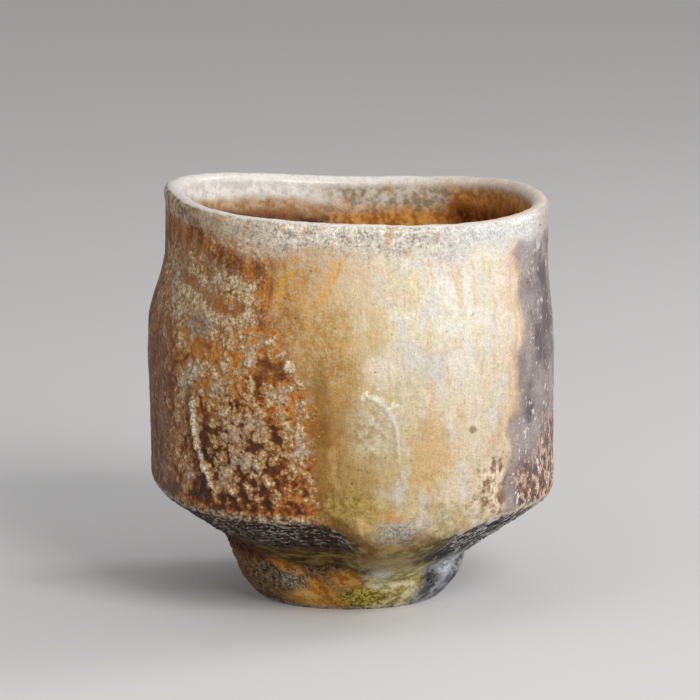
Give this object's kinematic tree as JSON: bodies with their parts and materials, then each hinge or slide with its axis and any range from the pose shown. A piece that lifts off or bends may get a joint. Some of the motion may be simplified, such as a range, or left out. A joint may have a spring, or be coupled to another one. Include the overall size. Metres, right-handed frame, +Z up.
{
  "type": "tea cup",
  "caption": "Handleless stoneware tea cup with a paddled soft-square wall, knife-cut under-bevels, a trimmed foot ring and ash glaze.",
  "frame": {"origin": "on the table, under the middle of the cup's outline", "axes": "+Z up, front face towards -Y, +X to the right seen from the front"},
  "size_m": [0.0928, 0.0898, 0.0939],
  "materials": {
    "clay_wall": "wood-fired, rough to satin",
    "clay_base": "wood-fired, knife-cut",
    "clay_foot": "wood-fired, satin",
    "liner_glaze": "satin",
    "ash_glaze": "satin ash"
  },
  "bodies": {
    "root": {"wall": "clay_wall", "base": "clay_base", "foot_ring": "clay_foot", "liner_glaze": "liner_glaze", "ash_glaze": "ash_glaze"}
  },
  "joints": []
}
